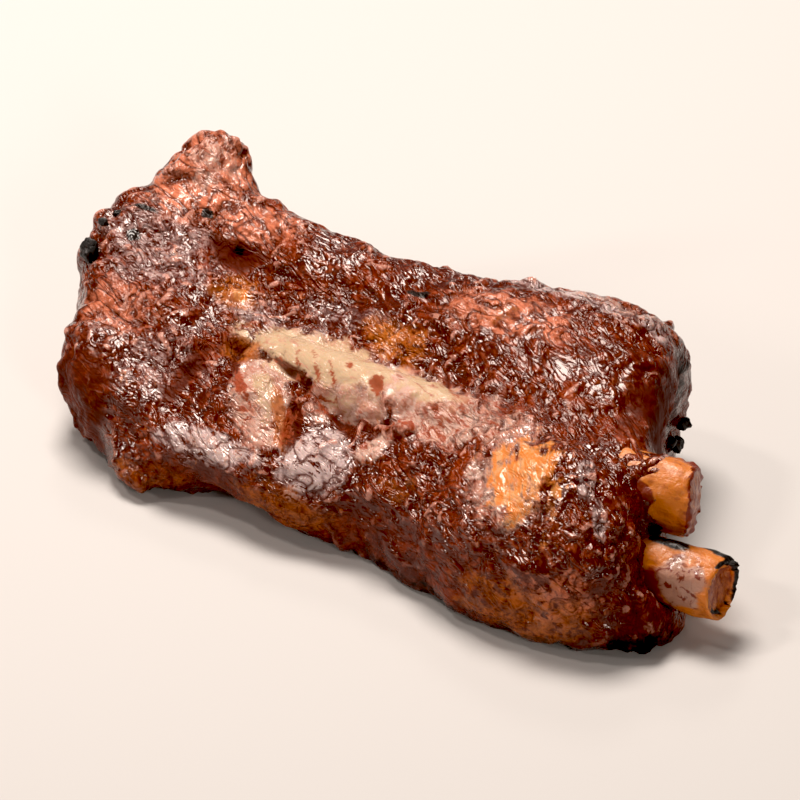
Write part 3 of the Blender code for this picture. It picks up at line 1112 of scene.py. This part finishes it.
@dataclass(frozen=True)
class BoneLook:
    """What sets one bone's surface apart from the other's.

    rim is the mask on the edge of the cut end, on the sides that face rim_side by no less than rim_least;
    cut is the way the cut end faces, and hollow how far it is sunk, in millimetres; patches are placed in
    the bone's own box.
    """

    node: str
    rim: Mask
    rim_side: Triple
    rim_least: float
    cut: Triple
    hollow: float
    patches: Patches


BACK_BONE = BoneLook(
    "bone_back",
    rim=Mask.DEEP,
    rim_side=(0.0, 0.6, 0.8),
    rim_least=-2.0,
    cut=(0.9, 0.44, 0.0),
    hollow=0.2,
    patches={
        Mask.DEEP: (
            Patch((1.0, 0.3, 0.45), (1.1, 1.4, 1.4), rise=0.6),  # scorched nodule
            Patch((0.915, 0.2, 0.8), (2.0, 1.4, 1.6), rise=0.5),  # dark curl
            Patch((0.89, 0.3, 0.5), (4.5, 6.0, 7.0), 0.7),  # brown root
            Patch((0.995, 0.35, 0.95), (1.6, 1.8, 1.6), rise=-1.0),  # chip above
            Patch((1.0, 0.85, 0.3), (1.6, 1.6, 1.8), rise=-1.0),  # chip below
            Patch((0.99, 0.5, 0.5), (2.4, 9.0, 9.0), 0.4),  # shade at the cut
        ),
        Mask.CHAR: (
            Patch((0.995, 0.85, 0.8), (1.2, 1.2, 1.4)),  # speck
            # painted shade: a black seam under the bone, in the gap towards the front bone
            Patch((0.93, 0.1, 0.02), (5.0, 3.0, 1.6), rise=1.0),  # seam below
            Patch((1.0, 0.75, 0.95), (2.0, 2.0, 2.0), 0.8),  # corner
        ),
    },
)
FRONT_BONE = BoneLook(
    "bone_front",
    rim=Mask.CHAR,
    rim_side=(0.0, 0.86, 0.5),
    rim_least=0.15,
    cut=(1.0, 0.0, 0.1),
    hollow=1.1,
    patches={
        Mask.PALE: (
            # glossy middle: a real coat and a painted highlight in the colour
            Patch((0.95, 0.36, 0.8), (4.2, 4.0, 3.6)),  # glossy middle
        ),
        Mask.DEEP: (
            Patch((0.935, 0.3, 0.9), (1.1, 1.1, 1.1), rise=-0.5),  # dark spot
            Patch((0.965, 0.15, 0.75), (0.8, 1.0, 1.0), rise=-0.4),  # second dark spot
            Patch((0.955, 0.45, 0.98), (0.7, 0.7, 1.0), rise=-0.3),  # third dark spot
            # painted shade on the near, lower side
            Patch((0.95, 0.0, 0.2), (9.0, 3.0, 4.0), 0.75),  # near side
            Patch((0.885, 0.3, 0.4), (4.0, 6.0, 6.0), 0.7),  # red root
        ),
        Mask.CHAR: (
            Patch((0.965, 0.9, 0.97), (6.5, 1.6, 1.6), rise=0.5, ragged=0.25),  # rim above
            # painted shade: a black seam on top, in the gap towards the back bone
            Patch((0.9, 0.72, 1.0), (4.0, 1.2, 1.2), 0.8, rise=0.6),  # seam above
            Patch((1.0, 0.55, 0.9), (1.2, 1.4, 1.4), rise=-0.8),  # chip at the tip
            Patch((1.0, 0.3, 0.05), (1.0, 1.0, 0.9)),  # bit below
        ),
    },
)


@dataclass
class RibBone:
    """A roasted rib bone with a fibrous surface and a burnt cut end."""

    nodes: dict[str, bpy.types.Object]
    look: BoneLook
    material: Material

    CELL = 0.00042
    SMOOTH_ROUNDS = 1
    TIP = 3.0 * MM
    SLICE = 0.6 * MM
    END_GAP = 0.0003
    BARE_FROM = (0.037, 0.04)
    SWELL = 0.0002
    SUNK = 0.0018
    FACE = (0.85, 0.98)
    FACE_STAIN = 0.5
    RIM_INNER = (0.995, 0.92)
    RIM_OUTER = (0.05, 0.3)
    RIM_NEAR = (12.0 * MM, 8.0 * MM)
    RIM_BAND = 0.15
    WARP = (4.0, 0.9)
    STREAK_CELL, STREAK_HEIGHT, STREAK_STRETCH = 1.4, 0.06, 4.5
    PIT_CELL, PIT_HEIGHT = 1.3, 0.14
    UNEVEN_CELL, UNEVEN_HEIGHT = 3.5, 0.45
    NODULE_CELL, NODULE_HEIGHT = 1.1 * MM, 0.7
    FORM_WIDTH = 0.0003

    def __post_init__(self) -> None:
        """Read the bone's box."""
        self.box = NodeBox.of(self.look.node)

    def build(self) -> bpy.types.Object:
        """Make the piece."""
        piece = Workpiece("rib_" + self.look.node, self._cut_body())
        piece.remesh(self.CELL)
        piece.smooth(self.SMOOTH_ROUNDS)
        self._sculpt(piece)
        piece.store_form(self.FORM_WIDTH)
        piece.dress(self.material)
        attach(piece.object, "root")
        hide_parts(self.look.node)
        return piece.object

    def _cut_body(self) -> BMesh:
        """The node's mesh with its end cut off at a slant that keeps the near side's length."""
        body = node_copy(self.nodes[self.look.node])
        end = self.box.high.x
        tip = [vert.co for vert in body.verts if vert.co.x > end - self.TIP]
        near = min(tip, key=lambda place: place.y)
        cut_off(body, Vector((end - self.SLICE, near.y, near.z)), self.look.cut)
        return body

    def _sculpt(self, piece: Workpiece) -> None:
        """Roughen the surface and note where it is amber, dark with stains or painted shade, glossy with a
        painted highlight, and burnt.
        """
        places = piece.points()
        normals = piece.normals()
        axis = Vector(self.look.cut).normalized()
        masks = {mask: np.zeros(len(places)) for mask in (Mask.AMBER, Mask.CHAR, Mask.DEEP, Mask.PALE)}
        limit = self.box.high.x - self.END_GAP
        for index, row in enumerate(places):
            place = Vector(row)
            normal = Vector(normals[index])
            rise = self._relief(place) + lay(self.look.patches, place, self.box, masks, index)
            rim = self._rim(place, normal, axis)
            rise += rim * self.NODULE_HEIGHT * noise.noise(place / self.NODULE_CELL)
            masks[self.look.rim][index] = max(masks[self.look.rim][index], rim)
            face = smoothstep(*self.FACE, normal.dot(axis))
            rise -= face * self.look.hollow
            masks[Mask.DEEP][index] = max(masks[Mask.DEEP][index], self.FACE_STAIN * face)
            bare = smoothstep(*self.BARE_FROM, place.x)
            masks[Mask.AMBER][index] = bare
            swell = self.SWELL * bare - self.SUNK * (1.0 - bare)
            moved = place + normal * (swell + rise * MM)
            moved.x = min(moved.x, limit)
            places[index] = moved
        piece.set_points(places)
        for mask, values in masks.items():
            piece.store(mask, values)

    def _rim(self, place: Vector, normal: Vector, axis: Vector) -> float:
        """Share of the scorched rim at a place.

        Args:
            place: the place.
            normal: the surface's normal there.
            axis: direction in which the bone runs out.

        Returns:
            A number between 0 and 1.
        """
        facing = normal.dot(axis)
        edge = smoothstep(*self.RIM_OUTER, facing) * smoothstep(*self.RIM_INNER, facing)
        near = smoothstep(*(self.box.high.x - gap for gap in self.RIM_NEAR), place.x)
        side = (normal - axis * facing).dot(Vector(self.look.rim_side))
        least = self.look.rim_least
        return edge * near * smoothstep(least - self.RIM_BAND, least + self.RIM_BAND, side)

    def _relief(self, place: Vector) -> float:
        """Height of the fibrous streaks and pits at a place, in millimetres."""
        spot = warped(place / MM, *self.WARP)
        swell = self.UNEVEN_HEIGHT * noise.noise(spot / self.UNEVEN_CELL)
        streaks = Vector((spot.x / self.STREAK_STRETCH, spot.y, spot.z)) / self.STREAK_CELL
        pits = self.PIT_HEIGHT * noise.noise(spot / self.PIT_CELL)
        return swell + self.STREAK_HEIGHT * strands(streaks) + pits


@dataclass
class CharCrumbs:
    """Burnt crumbs that cling to the edges of the finished pieces; the last cluster fills the gap between
    the bones with black crumbs as painted shade.

    box is the meat's. Each cluster has its middle as shares of the box, its number of crumbs, and how far
    they lie apart and their radius in millimetres.
    """

    pieces: list[bpy.types.Object]
    box: NodeBox
    finish: CharFinish

    CLUSTERS = (
        ((0.812, 0.89, 0.2), 8, 1.9, 1.0),
        ((0.055, 0.54, 0.72), 3, 2.2, 0.6),
        ((0.066, 0.445, 0.66), 2, 0.8, 1.3),
        # painted shade: black crumbs that fill the gap between the bones
        ((0.934, 0.353, 0.377), 7, 2.4, 0.7),
    )
    SEED = 11
    SIZES = (0.6, 1.2)
    OUTSIDE = 0.3
    FINENESS = 3
    STRETCHES = (0.7, 1.3)
    OFFSETS = (-50.0, 50.0)
    BULGE, BULGE_CELL = 0.5, 1.3

    def build(self) -> bpy.types.Object:
        """Make the crumbs as one piece."""
        draw = np.random.default_rng(self.SEED)
        body = bmesh.new()
        for piece in self.pieces:
            body.from_mesh(piece.data)
        tree = BVHTree.FromBMesh(body)
        body.free()
        bm = bmesh.new()
        for at, count, spread, size in self.CLUSTERS:
            centre = self.box.at(at)
            for _ in range(count):
                guess = centre + Vector(draw.normal(0.0, spread * MM / 2, 3))
                spot, normal, _, _ = tree.find_nearest(guess)
                radius = size * MM * draw.uniform(*self.SIZES)
                self._crumb(bm, spot + normal * radius * self.OUTSIDE, radius, draw)
        piece = Workpiece("rib_char_crumbs", bm)
        piece.dress(self.finish.material())
        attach(piece.object, "root")
        return piece.object

    def _crumb(self, bm: BMesh, spot: Vector, radius: float, draw: np.random.Generator) -> None:
        """Add one uneven crumb.

        Args:
            bm: the mesh to add to.
            spot: middle of the crumb.
            radius: its size.
            draw: source of the unevenness.
        """
        ball = bmesh.ops.create_icosphere(bm, subdivisions=self.FINENESS, radius=radius)
        stretch = Vector(draw.uniform(*self.STRETCHES, 3))
        offset = Vector(draw.uniform(*self.OFFSETS, 3))
        for vert in ball["verts"]:
            bulge = 1.0 + self.BULGE * noise.noise(vert.co / radius * self.BULGE_CELL + offset)
            vert.co = spot + vert.co * stretch * bulge


class Studio:
    """Pale floor, soft lights and the camera."""

    AZIMUTH = math.radians(35.884)
    ELEVATION = math.radians(30.547)
    DISTANCE = 1.3163
    TARGET = Vector((-0.0012, -0.0006, 0.012))
    LENS = 427.0
    SENSOR = 36.0
    LIGHT_COLOUR = (1.0, 0.89, 0.81)
    FARTHEST = 50.0
    LIGHTS = (
        ("overhead", (-0.19, 0.14, 0.57), (0.27, 0.22), 4.8),
        ("back", (-0.55, 0.72, 0.7), (0.2, 0.18), 1.5),
        ("glint", (-0.34, -0.2, 0.6), (0.07, 0.07), 0.8),
        ("right", (0.55, -0.42, 0.34), (0.12, 0.12), 1.1),
        ("front", (-0.55, -0.62, 0.36), (0.09, 0.09), 1.3),
    )
    ROOM_COLOUR = (1.0, 0.9, 0.84, 1.0)
    ROOM_STRENGTH = 0.12
    BLACK = (0.014, 0.014, 0.014)
    FLOOR_SIZE = 12.0
    FLOOR_DROP = 0.0001

    def build(self) -> None:
        """Make everything that isn't the object."""
        self._camera()
        self._floor()
        for light in self.LIGHTS:
            self._light(*light)
        self._world()
        self._develop()

    def _develop(self) -> None:
        """Set how the picture is developed: plain colours with a slightly deeper black."""
        view = bpy.context.scene.view_settings
        view.view_transform = "Standard"
        view.use_curve_mapping = True
        view.curve_mapping.black_level = self.BLACK
        view.curve_mapping.update()

    def _camera(self) -> None:
        """Place the camera."""
        data = bpy.data.cameras.new("camera")
        data.lens = self.LENS
        data.sensor_width = self.SENSOR
        data.clip_end = self.FARTHEST
        camera = bpy.data.objects.new("camera", data)
        bpy.context.scene.collection.objects.link(camera)
        level = math.cos(self.ELEVATION)
        side, back = math.sin(self.AZIMUTH) * level, -math.cos(self.AZIMUTH) * level
        away = Vector((side, back, math.sin(self.ELEVATION)))
        camera.location = self.TARGET + away * self.DISTANCE
        camera.rotation_euler = away.to_track_quat("Z", "Y").to_euler()
        bpy.context.scene.camera = camera

    def _floor(self) -> None:
        """Lay the floor."""
        bm = bmesh.new()
        bmesh.ops.create_grid(bm, x_segments=1, y_segments=1, size=self.FLOOR_SIZE / 2)
        bmesh.ops.translate(bm, vec=(0.0, 0.0, -self.FLOOR_DROP), verts=bm.verts)
        floor = Workpiece("floor", bm)
        floor.dress(FloorFinish().material())

    def _light(self, name: str, place: tuple, size: tuple, power: float) -> None:
        """Hang a soft box that looks at the object.

        Args:
            name: name of the light.
            place: where it hangs.
            size: its width and height.
            power: its power in watts.
        """
        data = bpy.data.lights.new(name, "AREA")
        data.shape = "RECTANGLE"
        data.size, data.size_y = size
        data.energy = power
        data.color = self.LIGHT_COLOUR
        light = bpy.data.objects.new(name, data)
        light.location = place
        light.rotation_euler = (Vector(place) - self.TARGET).to_track_quat("Z", "Y").to_euler()
        bpy.context.scene.collection.objects.link(light)

    def _world(self) -> None:
        """Fill the room with soft white light."""
        world = bpy.data.worlds.new("studio")
        world.use_nodes = True
        background = world.node_tree.nodes["Background"]
        background.inputs["Color"].default_value = self.ROOM_COLOUR
        background.inputs["Strength"].default_value = self.ROOM_STRENGTH
        bpy.context.scene.world = world


def report(piece: bpy.types.Object) -> None:
    """Log a finished piece."""
    triangles = sum(len(face.vertices) - 2 for face in piece.data.polygons)
    LOG.info("%s: %d triangles", piece.name, triangles)


def main() -> None:
    """Build every piece, then the studio, and note the sizes."""
    logging.basicConfig(level=logging.INFO, format="%(name)s: %(message)s")
    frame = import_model()
    noise.seed_set(WANDER_SEED)
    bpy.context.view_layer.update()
    nodes = frame["nodes"]
    bone_material = BoneFinish().material()
    meat = MeatSlab(nodes, GlazedMeatFinish(), (BACK_BONE.node, FRONT_BONE.node))
    pieces = [meat.build()]
    pieces += [RibBone(nodes, look, bone_material).build() for look in (BACK_BONE, FRONT_BONE)]
    pieces.append(CharCrumbs(pieces, meat.box, CharFinish()).build())
    for piece in pieces:
        report(piece)
    Studio().build()


if __name__ == "__main__":
    main()
